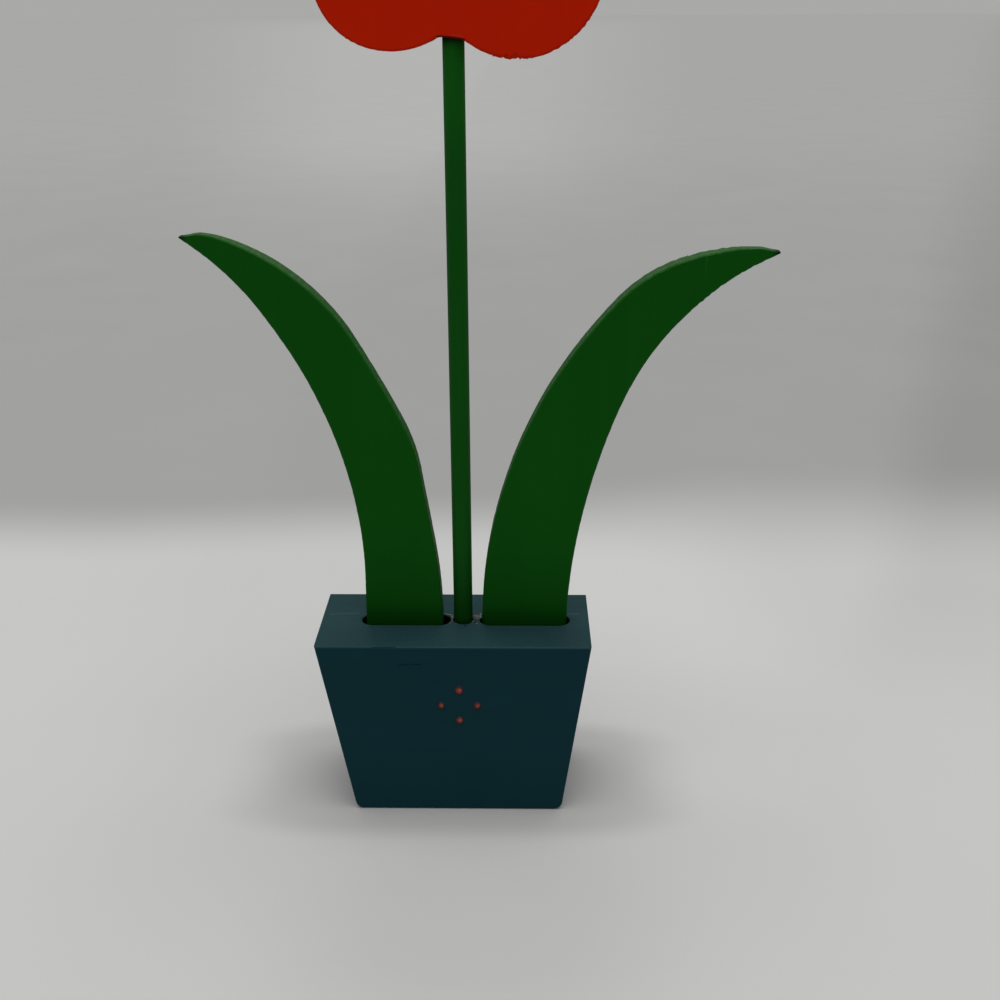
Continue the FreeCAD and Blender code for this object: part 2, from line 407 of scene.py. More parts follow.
def roughenOutline(board, look, low, high, held):
    # moves only the sawn side, in the board's own plane: the saw wanders, chatters and tears the corners.
    # held says how firmly a place stays, from 0 to 1, and nothing leaves the box from low to high
    half = max(vert.co.y for vert in board.verts)
    cornerStart = half - look["corner"]
    moves = []
    for vert in board.verts:
        outward = Vector((vert.normal.x, 0, vert.normal.z))
        if outward.length < sawHand["leastOutward"]:
            continue
        outward.normalize()
        place = vert.co
        side = Vector((place.x, place.y * sawHand["across"], place.z))
        wander = look["wander"] * noise.noise(side * look["wandersPerMetre"])
        corner = step01(abs(place.y), cornerStart - sawHand["cornerBlend"], cornerStart)
        underside = step01(-outward.z, 0.0, sawHand["undersideSlope"])
        lower = look["tornAbove"] + (1 - look["tornAbove"]) * underside
        flat = Vector((place.x, 0, place.z))
        patch = sum(share * (1 - step01((flat - Vector(centre)).length, reach * sawHand["patchCore"], reach))
                    for centre, reach, share in look["tornPatches"])
        wave = noise.noise(side * look["chattersPerMetre"])
        chatter = look["chatter"] * wave + look["notch"] * patch * (wave - sawHand["chatterBias"])
        tearing = look["torn"] * min(1.0, look["tornElsewhere"] + patch)
        torn = tearing * corner * lower * (noise.noise(place * look["tearsPerMetre"]) - sawHand["tearBias"])
        grown = sum(size * (1 - step01((place - Vector(centre)).length, 0.0, reach))
                    for centre, reach, size in look["grown"])
        moves.append((vert, outward * (wander + chatter + torn + grown) * (1 - held(place))))
    for vert, move in moves:
        vert.co = Vector([min(high[i], max(low[i], value)) for i, value in enumerate(vert.co + move)])


def cutAcross(board, tip, inward, reach, cuts):
    # cuts the faces near a tip into strips, so that they can bend
    for i in range(1, cuts + 1):
        geometry = list(board.verts) + list(board.edges) + list(board.faces)
        bmesh.ops.bisect_plane(board, geom=geometry, plane_co=(tip.x + inward * reach * i / cuts, 0, 0),
                               plane_no=(1, 0, 0))


def pareTip(board, tip, look):
    # the board gets thinner towards its tip, where it was pared by hand, and what lies above the
    # point is drawn down to it
    for vert in board.verts:
        away = abs(vert.co.x - tip.x)
        vert.co.y *= 1 - look["tipShare"] * (1 - step01(away, 0.0, look["tipReach"]))
        down = min(0.0, tip.z - look["tipDrop"] - vert.co.z)
        vert.co.z += down * look["tipPinch"] * (1 - step01(away, 0.0, look["tipPinchReach"]))


def finishBoard(board, name, nodeName, material):
    # the worked board as a finished piece on the body of its CAD piece
    bmesh.ops.triangulate(board, faces=[face for face in board.faces if len(face.verts) > 4])
    mesh = bpy.data.meshes.new(name)
    board.to_mesh(mesh)
    board.free()
    mesh.shade_smooth()
    mesh.set_sharp_from_angle(angle=math.radians(shellLook["smooth"]))
    thing = bpy.data.objects.new(name, mesh)
    bpy.context.collection.objects.link(thing)
    mesh.materials.append(material)
    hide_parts(nodeName)
    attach(thing, nodeName)
    return thing


# pot
potLook = {
    "colour": srgb(9, 46, 53), "thinColour": srgb(11, 50, 56), "streakColour": srgb(7, 42, 49),
    "sawnColour": srgb(11, 48, 54), "wornColour": srgb(32, 66, 68), "dustColour": srgb(104, 110, 90),
    "grainTurn": (0, math.pi / 2, 0),      # the board lay along X
    "fibresPerMetre": 900.0, "patchesPerMetre": 55.0, "patchContrast": 0.5, "streaks": 0.3,
    "sawn": 0.25, "wear": 0.12, "wearReach": 0.6 * mm, "dust": 0.08,
    "grainRelief": 0.05, "brushRelief": 0.03, "sawRelief": 0.06,
    "roughness": 0.42, "roughSpread": 0.08, "shine": 0.06, "cornerSoftness": 0.2 * mm,
    "lineMark": {"softness": 0.6, "ragged": 0.25, "strength": 0.8},
    "chipAndShadowMark": {"softness": 0.6, "ragged": 0.5},
}

# mortises and hole, painted near black as shade deep inside them: their middle along X, half their length and
# width, their lowest point, and how far down the pot's paint has run into them before the painted shade
potHollowShade = {
    "middleX": 2.25 * mm, "halfLength": 37.25 * mm, "halfWidth": 4.6 * mm, "lowest": 31.5 * mm,
    "paintRun": (1.2 * mm, 0.48 * mm), "colour": srgb(3, 9, 11),
}

# chips about the mortises and the stem, and a painted shadow at the stem's foot, on the pot's top: from, to
# (mm), width (mm), colour, how deep
potChipsAndShadow = [
    ((-3.9, 4.4), (-1.3, 3.2), 0.70, srgb(80, 88, 82), 0.5),
    ((-1.2, 2.8), (-0.9, 0.4), 0.55, srgb(92, 96, 90), 0.5),
    ((-1.1, -0.5), (-1.6, -1.9), 0.48, srgb(88, 94, 88), 0.4),
    ((-2.6, -2.8), (-1.7, -2.4), 0.45, srgb(84, 92, 88), 0.3),
    ((6.9, 2.7), (8.3, 2.0), 1.40, srgb(86, 80, 80), 0.4),
    ((6.7, 1.2), (7.9, 0.8), 1.00, srgb(78, 76, 76), 0.4),
    ((8.25, 4.2), (8.25, 1.6), 0.40, srgb(86, 118, 96), 0.2),
    ((5.9, -1.5), (7.2, -2.4), 0.75, srgb(98, 116, 110), 0.4),
    # painted shadow at the right of the stem's foot
    ((6.2, -1.75), (6.9, -2.1), 0.48, srgb(4, 24, 24), 0.9),
    ((8.7, 0.8), (8.5, -0.6), 0.50, srgb(10, 24, 18), 0.9),
    ((-0.6, 1.0), (-0.5, -0.8), 0.42, srgb(8, 28, 24), 0.6),
    ((1.2, -3.0), (4.4, -3.0), 0.30, srgb(6, 30, 30), 0.5),
    ((3.4, -3.7), (3.7, -4.7), 0.22, srgb(8, 30, 34), 0.4),
    ((0.9, -3.3), (0.2, -2.6), 0.35, srgb(52, 76, 74), 0.2),
]

# fine cracks along the grain, pale rubbed lines, and painted highlights along the mortises' front lips: two
# points (mm), width (mm), colour, how deep
potLines = [
    ((-17.2, -19.05, 55.55), (-14.4, -19.05, 55.65), 0.20, srgb(4, 24, 28), 0.5),
    ((-13.4, -19.05, 55.85), (-10.4, -19.05, 55.75), 0.18, srgb(4, 24, 28), 0.5),
    ((-25.6, -18.9, 61.9), (-18.3, -18.8, 62.0), 0.16, srgb(8, 30, 33), 0.3),
    ((-26.0, -14.9, 62.1), (-7.5, -14.1, 62.1), 0.14, srgb(22, 52, 56), 0.1),
    ((-42.5, 3.3, 62.1), (-33.0, 4.2, 62.1), 0.30, srgb(50, 78, 76), -0.1),
    ((38.1, 4.3, 62.1), (41.4, 4.3, 62.1), 0.28, srgb(56, 84, 82), -0.1),
    # painted highlights along the front lips of the mortises
    ((-30.5, -4.5, 62.1), (-2.0, -4.4, 62.1), 0.22, srgb(30, 62, 58), -0.1),
    ((8.8, -4.5, 62.1), (37.6, -4.4, 62.1), 0.22, srgb(30, 62, 58), -0.1),
]


def makePotPaint():
    material, tree, parts = paintedWood("potPaint", potLook)
    for start, end, width, colour, depth in potLines:
        addMark(tree, parts, inMillimetres(start), inMillimetres(end), width * mm, colour, depth,
                **potLook["lineMark"])
    for start, end, width, colour, depth in potChipsAndShadow:
        addMark(tree, parts, inMillimetres(start) + [potTop], inMillimetres(end) + [potTop], width * mm,
                colour, depth, **potLook["chipAndShadowMark"])
    place = separate(tree, parts["place"])
    # painted shade: near black deep in the mortises and the hole, below where the pot's paint has run in
    black, painted = potHollowShade["paintRun"]
    deep = fade(tree, place["Z"], potTop - black, potTop - painted, 1.0, 0.0)
    middle = maths(tree, "LESS_THAN", maths(tree, "ABSOLUTE", place["Y"]), potHollowShade["halfWidth"])
    along = maths(tree, "ABSOLUTE", maths(tree, "SUBTRACT", place["X"], potHollowShade["middleX"]))
    within = maths(tree, "LESS_THAN", along, potHollowShade["halfLength"])
    above = maths(tree, "GREATER_THAN", place["Z"], potHollowShade["lowest"])
    hollowShade = product(tree, deep, middle, within, above)
    parts["colour"] = mixColour(tree, hollowShade, parts["colour"], potHollowShade["colour"])
    closePaint(tree, parts, potLook["cornerSoftness"])
    return material


setMaterial(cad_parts["pot"], makePotPaint())
print("pot painted")

# leaves
leafLook = {
    "colour": srgb(6, 73, 8), "thinColour": srgb(10, 76, 11), "streakColour": srgb(5, 69, 7),
    # painted sheen: the leaves' sawn sides are paler, for the light that their sawn edges catch from above
    "sawnColour": srgb(48, 84, 42), "wornColour": srgb(66, 96, 58), "dustColour": srgb(120, 128, 108),
    "grainTurn": (0, 0, 0),
    "fibresPerMetre": 1000.0, "patchesPerMetre": 45.0, "patchContrast": 0.5, "streaks": 0.3,
    "sawn": 0.8, "wear": 0.25, "wearReach": 0.3 * mm, "dust": 0.12,
    "grainRelief": 0.05, "brushRelief": 0.03, "sawRelief": 0.16,
    "roughness": 0.46, "roughSpread": 0.08, "shine": 0.05, "cornerSoftness": 0.1 * mm,
    # painted shade on the leaves near the pot's top, where the pot and the leaves keep light off them
    "footShades": [(40 * mm, 0.78), (8 * mm, 0.60)],      # reach above the pot, share of the colour
    "tipColour": srgb(5, 10, 4), "tipHalf": 4 * mm, "tipWidth": 3.0 * mm,
    "tipMark": {"softness": 0.85, "ragged": 0.12, "strength": 0.85},
}
leafCut = {
    "step": 0.6 * mm, "rows": 5, "corner": 0.4 * mm,
    "wander": 0.09 * mm, "wandersPerMetre": 60.0, "chatter": 0.06 * mm, "chattersPerMetre": 620.0,
    "torn": 0.16 * mm, "tornAbove": 0.5, "tearsPerMetre": 900.0, "tornElsewhere": 0.4, "notch": 0.15 * mm,
    "tornPatches": [((74 * mm, 0, 183 * mm), 22 * mm, 1.0), ((52 * mm, 0, 160 * mm), 8 * mm, 1.0)],
    "footRise": (1 * mm, 6 * mm),      # above the pot the roughness comes in between these heights
    "tipReach": 30 * mm, "tipShare": 0.45, "tipGrown": 0.2 * mm, "tipCuts": 14,
    "tipPinch": 0.8, "tipPinchReach": 6 * mm, "tipDrop": 0.35 * mm,
}


def leafTip(name):
    # the point of the leaf that is furthest out
    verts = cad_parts[name].data.vertices
    pick = min if name == "left_leaf" else max
    return pick((vert.co for vert in verts), key=lambda place: place.x).copy()


leafTips = {name: leafTip(name) for name in ("left_leaf", "right_leaf")}


def makeLeafPaint():
    material, tree, parts = paintedWood("leafPaint", leafLook)
    # painted shade towards the pot
    for reach, share in leafLook["footShades"]:
        shadeTowards(tree, parts, potTop, reach, share)
    half = leafLook["tipHalf"]
    for name, tip in leafTips.items():
        low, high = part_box(name)
        outermost = low.x if name == "left_leaf" else high.x
        addMark(tree, parts, [outermost, -half, tip.z], [outermost, half, tip.z], leafLook["tipWidth"],
                leafLook["tipColour"], **leafLook["tipMark"])
    closePaint(tree, parts, leafLook["cornerSoftness"])
    return material


leafPaint = makeLeafPaint()


def makeLeaf(name, pieceName):
    board = cleanCopy(name)
    shortenSteps(board, leafCut["step"], leafCut["rows"])
    low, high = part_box(name)
    tip = leafTips[name]
    cutAcross(board, tip, 1 if name == "left_leaf" else -1, leafCut["tipReach"], leafCut["tipCuts"])
    grown = [((tip.x, 0, tip.z), leafCut["tipReach"], leafCut["tipGrown"])]
    smooth, rough = leafCut["footRise"]
    roughenOutline(board, dict(leafCut, grown=grown), low, high,
                   lambda place: 1 - step01(place.z, potTop + smooth, potTop + rough))
    pareTip(board, tip, leafCut)
    return finishBoard(board, pieceName, name, leafPaint)


makeLeaf("left_leaf", "leftLeafBoard")
makeLeaf("right_leaf", "rightLeafBoard")
print("leaves sawn and painted")

# stem
stemLook = {
    "colour": srgb(6, 72, 9), "thinColour": srgb(10, 76, 12), "streakColour": srgb(4, 66, 7),
    "sawnColour": srgb(12, 56, 12), "wornColour": srgb(30, 70, 28), "dustColour": srgb(70, 95, 68),
    "grainTurn": (0, 0, 0),
    "fibresPerMetre": 1400.0, "patchesPerMetre": 60.0, "patchContrast": 0.5, "streaks": 0.35,
    "sawn": 0.0, "wear": 0.0, "wearReach": 0.3 * mm, "dust": 0.0,
    "grainRelief": 0.05, "brushRelief": 0.03, "sawRelief": 0.0,
    "roughness": 0.44, "roughSpread": 0.08, "shine": 0.07, "cornerSoftness": 0.2 * mm,
    # painted shade on the stem near the pot's top, where the pot and the leaves keep light off it
    "footShades": [(34 * mm, 0.56), (2.5 * mm, 0.50)],      # reach above the pot, share of the colour
    "topLevel": 243.3 * mm,      # just under the blossom
    # painted light on the stem within 40 mm under the blossom, and painted shade in the last few millimetres
    # right under it
    "topLightAndShade": [(40 * mm, 1.75), (3.0 * mm, 0.45), (1.4 * mm, 0.25)],
}


def makeStemPaint():
    material, tree, parts = paintedWood("stemPaint", stemLook)
    # painted shade towards the pot
    for reach, share in stemLook["footShades"]:
        shadeTowards(tree, parts, potTop, reach, share)
    # painted light and shade under the blossom
    for reach, share in stemLook["topLightAndShade"]:
        shadeTowards(tree, parts, stemLook["topLevel"], -reach, share)
    closePaint(tree, parts, stemLook["cornerSoftness"])
    return material


setMaterial(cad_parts["stem"], makeStemPaint())
print("stem painted")

# blossom
blossomLook = {
    "colour": srgb(187, 29, 0), "thinColour": srgb(191, 32, 1), "streakColour": srgb(181, 26, 0),
    "sawnColour": srgb(160, 28, 4), "wornColour": srgb(128, 34, 22), "dustColour": srgb(170, 100, 82),
    "grainTurn": (0, 0, 0),
    "fibresPerMetre": 800.0, "patchesPerMetre": 40.0, "patchContrast": 0.5, "streaks": 0.3,
    "sawn": 0.5, "wear": 0.7, "wearReach": 0.4 * mm, "dust": 0.08,
    "grainRelief": 0.05, "brushRelief": 0.03, "sawRelief": 0.16,
    "roughness": 0.55, "roughSpread": 0.08, "shine": 0.03, "cornerSoftness": 0.15 * mm,
    "notchShadeAndHighlightMark": {"softness": 0.5, "ragged": 0.15, "strength": 0.9},
}
blossomCut = {
    "step": 0.25 * mm, "rows": 11, "corner": 0.6 * mm,
    "wander": 0.12 * mm, "wandersPerMetre": 90.0, "chatter": 0.03 * mm, "chattersPerMetre": 1000.0,
    "torn": 0.60 * mm, "tornAbove": 0.25, "tearsPerMetre": 1000.0, "tornElsewhere": 0.15, "notch": 1.00 * mm,
    "tornPatches": [((20 * mm, 0, 238 * mm), 5 * mm, 1.0), ((37 * mm, 0, 244 * mm), 10 * mm, 0.25),
                    ((-25 * mm, 0, 241 * mm), 3 * mm, 0.2)],
    "grown": [((43.0 * mm, 0, 252.0 * mm), 16 * mm, 0.45 * mm)],
    "holeEdge": (4.5 * mm, 7 * mm),      # round the stem the roughness comes in between these distances
    "notchPlace": (2.6 * mm, 244.0 * mm), "notchReach": (5.0 * mm, 5.0 * mm), "notchDrop": 0.9 * mm,
}

# painted shadow in the notch over the stem, and a painted highlight along the notch's edge: two points (mm),
# width (mm), colour
notchShadeAndHighlight = [
    # painted shadow in the notch over the stem
    ((-0.9, -9.2, 243.85), (2.0, -9.2, 243.65), 0.50, srgb(50, 8, 4)),
    ((2.0, -9.2, 243.65), (6.0, -9.2, 243.05), 0.50, srgb(50, 8, 4)),
    # painted highlight along the notch's edge
    ((2.8, -9.5, 244.35), (5.8, -9.5, 243.80), 0.18, srgb(172, 50, 40)),
]


def makeBlossomPaint():
    material, tree, parts = paintedWood("blossomPaint", blossomLook)
    for start, end, width, colour in notchShadeAndHighlight:
        addMark(tree, parts, inMillimetres(start), inMillimetres(end), width * mm, colour,
                **blossomLook["notchShadeAndHighlightMark"])
    closePaint(tree, parts, blossomLook["cornerSoftness"])
    return material


def flattenNotch(board):
    # the notch over the stem is cut less deep in its middle
    middleX, level = blossomCut["notchPlace"]
    wide, high = blossomCut["notchReach"]
    for vert in board.verts:
        share = 1 - step01(abs(vert.co.x - middleX), 0.0, wide)
        vert.co.z -= blossomCut["notchDrop"] * share * (1 - step01(abs(vert.co.z - level), high / 2, high))


def makeBlossom():
    board = cleanCopy("blossom")
    shortenSteps(board, blossomCut["step"], blossomCut["rows"])
    smooth, rough = blossomCut["holeEdge"]
    roughenOutline(board, blossomCut, blossomLow, blossomHigh,
                   lambda place: 1 - step01(Vector((place.x - stemX, place.y)).length, smooth, rough))
    flattenNotch(board)
    return finishBoard(board, "blossomBoard", "blossom", blossomPaint)


blossomPaint = makeBlossomPaint()
makeBlossom()
print("blossom sawn and painted")

# torn fibres: short slivers that the saw left standing along a corner
fibreLook = {
    "perSquareMetre": 900000.0, "length": 0.55 * mm, "width": 0.10 * mm, "lean": 0.5, "sides": 4,
    "cornerSlope": (0.35, 0.93),      # they stand where the surface turns from side to face
    "flatten": (1.0, 0.15, 1.0), "sizes": (0.35, 1.2),
}
fibrePlaces = [      # piece, body, board, slot, low corner, high corner (mm), density share, seed
    ("blossomFibresLeft", "blossom", "blossomBoard", "blossom_paint", (-37, -10, 236), (-4, 10, 250), 0.35, 3),
    ("blossomFibresRight", "blossom", "blossomBoard", "blossom_paint", (9, -10, 236), (48, 10, 258), 1.0, 7),
    ("leafTipFibres", "right_leaf", "rightLeafBoard", "leaf_paint", (64, -4, 170), (92, 4, 187), 0.5, 11),
]


def makeFibreTree():
    tree = bpy.data.node_groups.new("tornFibres", "GeometryNodeTree")
    face = tree.interface
    face.new_socket("Geometry", in_out="OUTPUT", socket_type="NodeSocketGeometry")
    face.new_socket("Geometry", in_out="INPUT", socket_type="NodeSocketGeometry")
    for label, kind in (("Low Corner", "Vector"), ("High Corner", "Vector"), ("Density", "Float"),
                        ("Length", "Float"), ("Width", "Float"), ("Lean", "Float"), ("Seed", "Int"),
                        ("Paint", "Material")):
        face.new_socket(label, in_out="INPUT", socket_type="NodeSocket" + kind)
    given = tree.nodes.new("NodeGroupInput").outputs
    place = separate(tree, addNode(tree, "GeometryNodeInputPosition").outputs[0])
    low, high = separate(tree, given["Low Corner"]), separate(tree, given["High Corner"])
    slope = maths(tree, "ABSOLUTE", separate(tree, addNode(tree, "GeometryNodeInputNormal").outputs[0])["Y"])
    least, most = fibreLook["cornerSlope"]
    chosen = product(tree, maths(tree, "GREATER_THAN", slope, least), maths(tree, "LESS_THAN", slope, most))
    for axis in range(3):      # and only between the two corners
        chosen = product(tree, chosen, maths(tree, "GREATER_THAN", place[axis], low[axis]),
                         maths(tree, "LESS_THAN", place[axis], high[axis]))
    points = addNode(tree, "GeometryNodeDistributePointsOnFaces",
                     {"Mesh": given["Geometry"], "Selection": chosen, "Density": given["Density"],
                      "Seed": given["Seed"]})
    sliver = addNode(tree, "GeometryNodeMeshCone",
                     {"Vertices": fibreLook["sides"], "Radius Top": 0.0, "Radius Bottom": given["Width"],
                      "Depth": given["Length"]})
    flat = vectorMaths(tree, "MULTIPLY", points.outputs["Normal"], fibreLook["flatten"])[0]
    stray = addNode(tree, "FunctionNodeRandomValue", {"Seed": given["Seed"]}, data_type="FLOAT_VECTOR")
    stray.inputs[0].default_value = (-1, -1, -1)
    stray.inputs[1].default_value = (1, 1, 1)
    aim = vectorMaths(tree, "ADD", flat, scaled(tree, stray.outputs[0], given["Lean"]))[0]
    turn = addNode(tree, "FunctionNodeAlignRotationToVector", {"Vector": aim}, axis="Z")
    size = addNode(tree, "FunctionNodeRandomValue", {"Seed": given["Seed"]}, data_type="FLOAT")
    size.inputs[2].default_value, size.inputs[3].default_value = fibreLook["sizes"]
    stand = addNode(tree, "GeometryNodeInstanceOnPoints",
                    {"Points": points.outputs["Points"], "Instance": sliver.outputs["Mesh"],
                     "Rotation": turn.outputs[0], "Scale": size.outputs[1]})
    real = addNode(tree, "GeometryNodeRealizeInstances", {0: stand.outputs[0]})
    painted = addNode(tree, "GeometryNodeSetMaterial",
                      {"Geometry": real.outputs[0], "Material": given["Paint"]})
    tree.links.new(painted.outputs[0], tree.nodes.new("NodeGroupOutput").inputs[0])
    return tree


fibreTree = makeFibreTree()
sockets = {item.name: item.identifier for item in fibreTree.interface.items_tree if item.in_out == "INPUT"}
for pieceName, body, boardName, slot, low, high, share, seed in fibrePlaces:
    board = bpy.data.objects[boardName]
    holder = bpy.data.objects.new(pieceName + "Source", board.data.copy())
    bpy.context.collection.objects.link(holder)
    modifier = holder.modifiers.new("fibres", "NODES")
    modifier.node_group = fibreTree
    values = {"Low Corner": inMillimetres(low), "High Corner": inMillimetres(high),
              "Density": fibreLook["perSquareMetre"] * share, "Length": fibreLook["length"],
              "Width": fibreLook["width"], "Lean": fibreLook["lean"], "Seed": seed,
              "Paint": board.data.materials[0]}
    for label, value in values.items():
        modifier[sockets[label]] = value
    ready = holder.evaluated_get(bpy.context.evaluated_depsgraph_get())
    mesh = bpy.data.meshes.new_from_object(ready)
    mesh.name = pieceName
    bpy.data.objects.remove(holder)
    fibres = bpy.data.objects.new(pieceName, mesh)
    bpy.context.collection.objects.link(fibres)
    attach(fibres, body)
    print(pieceName, len(mesh.polygons), "faces")

# paint drops
dotNames = ("upper_dot", "left_dot", "right_dot", "lower_dot")
dotLook = {
    "colour": srgb(140, 38, 34), "thinColour": srgb(124, 52, 42), "patchesPerMetre": 700.0, "contrast": 0.8,
    # painted shade round each drop's edge
    "rimShadeColour": srgb(26, 34, 34), "rimShade": 0.95, "rimShadeFade": (0.25, 0.92),      # by the way out to the rim
    # painted highlight, shifted towards each drop's upper right
    "highlightColour": srgb(132, 96, 78), "highlight": 0.6, "highlightFade": (0.05, 0.55), "highlightShift": 0.28,
    "straysPerMetre": 1100.0, "stray": 0.5,
    "roughness": 0.38, "roughSpread": 0.15, "relief": 0.08 * mm, "shine": 0.10,
}


def makeDotPaint():
    material, tree = newMaterial("dotPaint")
    shader = tree.nodes["Principled BSDF"]
    place = addNode(tree, "ShaderNodeTexCoord").outputs["Object"]
    paint = placeGroup(tree, brushedPaint, {
        "Vector": place, "Colour": dotLook["colour"], "Thin Colour": dotLook["thinColour"],
        "Patches Per Metre": dotLook["patchesPerMetre"], "Contrast": dotLook["contrast"]})
    split = separate(tree, place)

    def nearest(shift):
        # how far out on its own drop a spot lies: 0 in the middle, 1 at the rim
        least = None
        for name in dotNames:
            low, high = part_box(name)
            centre, half = (low + high) / 2, (high - low) / 2
            across = maths(tree, "DIVIDE", maths(tree, "SUBTRACT", split["X"], centre.x + shift * half.x),
                           half.x)
            up = maths(tree, "DIVIDE", maths(tree, "SUBTRACT", split["Z"], centre.z + shift * half.z), half.z)
            out = maths(tree, "SQRT", maths(tree, "ADD", maths(tree, "MULTIPLY", across, across),
                                            maths(tree, "MULTIPLY", up, up)))
            least = out if least is None else maths(tree, "MINIMUM", least, out)
        return least

    stray = addNoise(tree, place, dotLook["straysPerMetre"], 2.0)[0]
    ragged = maths(tree, "MULTIPLY_ADD", stray, dotLook["stray"], -dotLook["stray"] / 2)
    # painted shade round each drop's edge
    rimShade = fade(tree, maths(tree, "ADD", nearest(0.0), ragged), *dotLook["rimShadeFade"], 0.0, dotLook["rimShade"])
    # painted highlight, towards each drop's upper right
    highlight = fade(tree, maths(tree, "ADD", nearest(dotLook["highlightShift"]), ragged), *dotLook["highlightFade"],
                dotLook["highlight"], 0.0)
    body = mixColour(tree, highlight, paint["Colour"], dotLook["highlightColour"])
    bump = addNode(tree, "ShaderNodeBump", {"Height": paint["Height"], "Distance": dotLook["relief"]})
    rough = maths(tree, "MULTIPLY_ADD", paint["Patch"], dotLook["roughSpread"], dotLook["roughness"])
    tree.links.new(mixColour(tree, rimShade, body, dotLook["rimShadeColour"]), shader.inputs["Base Color"])
    tree.links.new(rough, shader.inputs["Roughness"])
    tree.links.new(bump.outputs[0], shader.inputs["Normal"])
    shader.inputs["Specular IOR Level"].default_value = dotLook["shine"]
    return material


dotPaint = makeDotPaint()
for name in dotNames:
    setMaterial(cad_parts[name], dotPaint)
print("paint drops done")

# floor that goes over softly into a pale backdrop, with the fall of the light painted into its tone. Its
# paleness is a share of white, places and distances are in metres, and a pair is where a change starts and
# where it is complete
floorLook = {
    "size": 90.0, "mottle": 0.02, "mottlesPerMetre": 9.0, "blue": 0.985,
    "near": 0.412, "middle": 0.258, "far": 0.285,      # at the object, behind it, far off
    "behindFade": (0.185, 0.275), "farFade": (0.45, 2.5), "sideways": 0.35,
    "right": (0.0, 0.15), "rightSpread": (0.027, 0.045),      # on the right the fade is longer
    "left": (-0.04, -0.20), "leftShift": 0.014, "outerLeft": (-0.10, -0.17), "leftGain": 0.025,
    # by direction, as X over the distance from a line in front of the pot, and only behind it
    "front": 0.357, "behind": (0.03, 0.16), "vanish": (9.0, 43.2),
    "glow": 0.042, "glowPlace": -0.07, "glowReach": (0.04, 0.23), "glowStart": (0.7, 2.2),
    "edge": (0.33, 0.42), "edgeDim": 0.034,
}

# painted shadows and a painted pool of light on the floor: middle, half sizes, reach, at which shares of it,
# gain
floorPaintedShadowsAndLight = [
    # painted shadow round the pot's foot
    ((0.0, 0.0), (35 * mm, 19 * mm), (52 * mm, 19 * mm), (0.4, 1.0), -0.16),      # round the pot's foot
    # painted shadow in front of the pot
    ((10 * mm, -80 * mm), (0.0, 0.0), (80 * mm, 62 * mm), (0.2, 1.0), -0.09),      # in front of it
    # painted pool of light behind the pot, on the right
    ((75 * mm, 130 * mm), (0.0, 0.0), (95 * mm, 200 * mm), (0.2, 1.0), 0.065),      # behind, on the right
]


